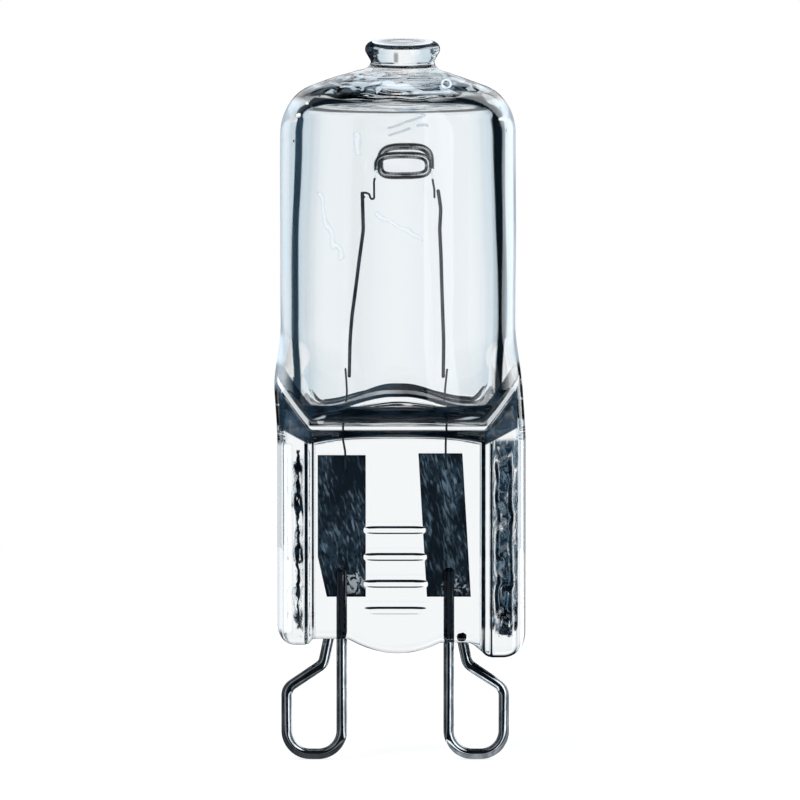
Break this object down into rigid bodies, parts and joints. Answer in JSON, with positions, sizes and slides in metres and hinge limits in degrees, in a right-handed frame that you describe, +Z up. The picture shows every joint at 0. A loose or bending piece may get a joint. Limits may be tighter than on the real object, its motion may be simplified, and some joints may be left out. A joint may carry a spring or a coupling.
{
  "type": "halogen capsule bulb",
  "caption": "Clear quartz halogen capsule lamp with a pressed flat seal, sealed-in foils, a coiled filament on support wires and bent wire contact loops.",
  "frame": {"origin": "midway between the two wire contact loops, at their lowest points", "axes": "+Z up along the bulb towards the exhaust stub, +X from the left loop to the right loop as seen from the front, +Y to the back"},
  "size_m": [0.0139, 0.013, 0.04],
  "materials": {
    "quartz_glass": "clear, fire-polished on the bulb, mottled by the press on the ribs of the seal",
    "contact_wire": "bright drawn wire, dark in reflection",
    "foil": "dark grey metal foil with fine mottled scratches",
    "inner_wire": "dark drawn wire",
    "filament_wire": "fine coiled wire, grey with bright turns"
  },
  "bodies": {
    "root": {"envelope": "quartz_glass", "contact_loop_left": "contact_wire", "contact_loop_right": "contact_wire", "foil_left": "foil", "foil_right": "foil", "lead_in_left": "inner_wire", "lead_in_right": "inner_wire", "support_wire_left": "inner_wire", "support_wire_right": "inner_wire", "filament": "filament_wire"}
  },
  "joints": []
}
